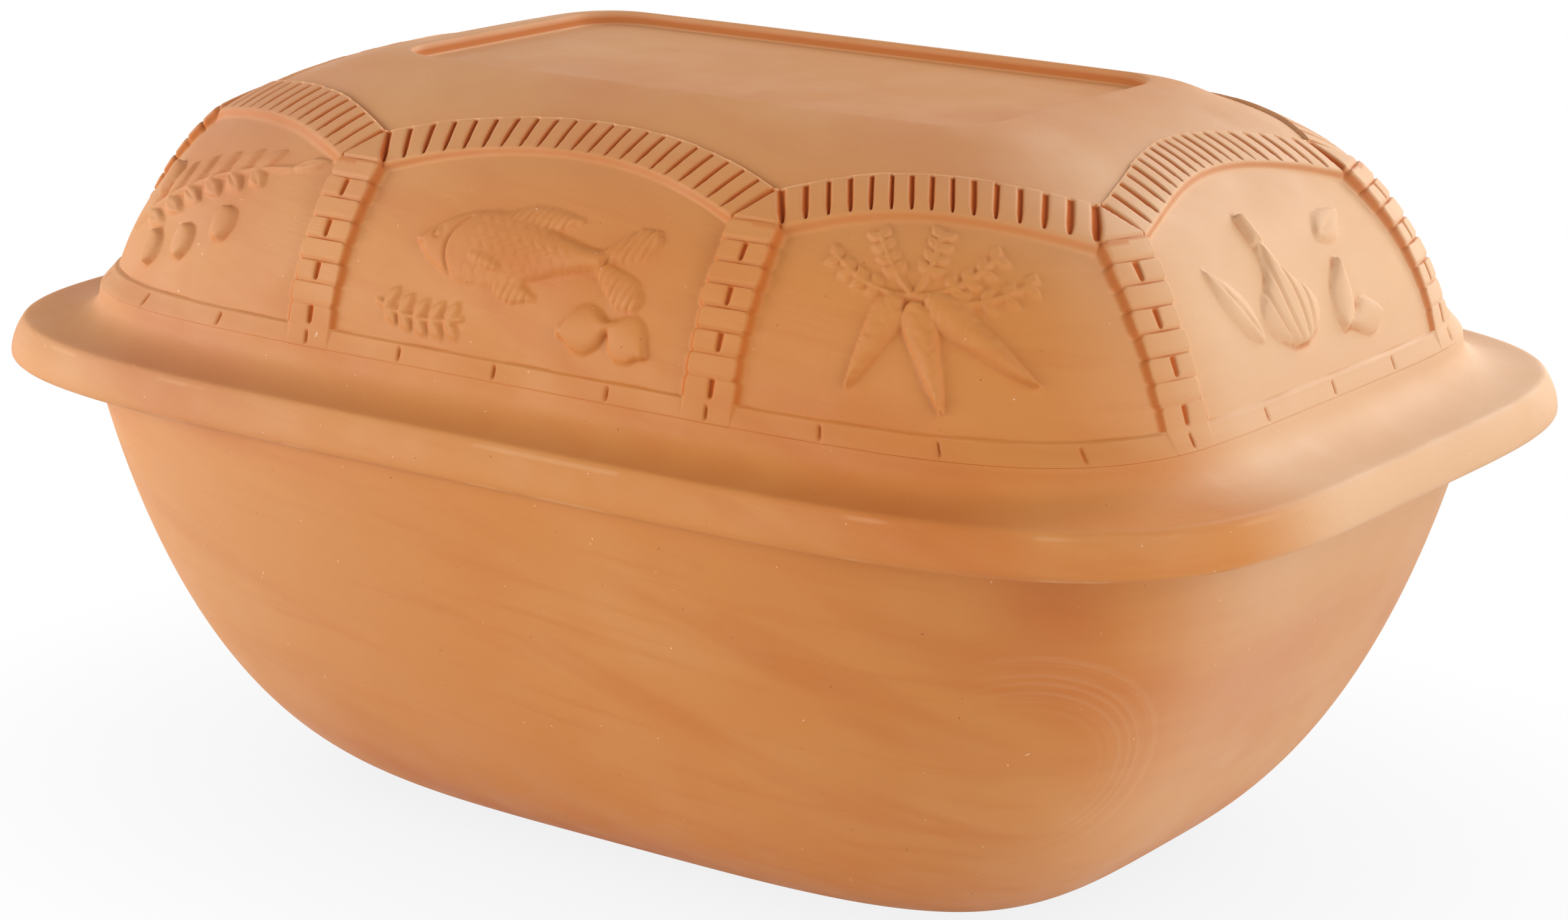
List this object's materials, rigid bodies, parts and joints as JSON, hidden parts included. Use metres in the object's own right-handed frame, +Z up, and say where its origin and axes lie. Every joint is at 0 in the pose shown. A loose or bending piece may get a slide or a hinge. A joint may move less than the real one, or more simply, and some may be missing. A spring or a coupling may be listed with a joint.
{
  "type": "clay roaster",
  "caption": "Oblong unglazed terracotta roasting pan with a domed lift-off lid, a wide flange to grip and a brick arcade in relief round the lid.",
  "frame": {"origin": "middle of the pan's flat underside", "axes": "+Z up, +X along the length, -Y towards the front long side"},
  "size_m": [0.3698, 0.2568, 0.1917],
  "materials": {
    "terracotta": "matt, unglazed, fired orange-brown clay"
  },
  "bodies": {
    "pan": {"base_pan": "terracotta"},
    "lid": {"lid": "terracotta"}
  },
  "joints": [
    {"name": "lid_lift", "type": "slide", "parent": "pan", "child": "lid", "axis": [0, 0, 1], "range_m": [0, 0.2]}
  ]
}
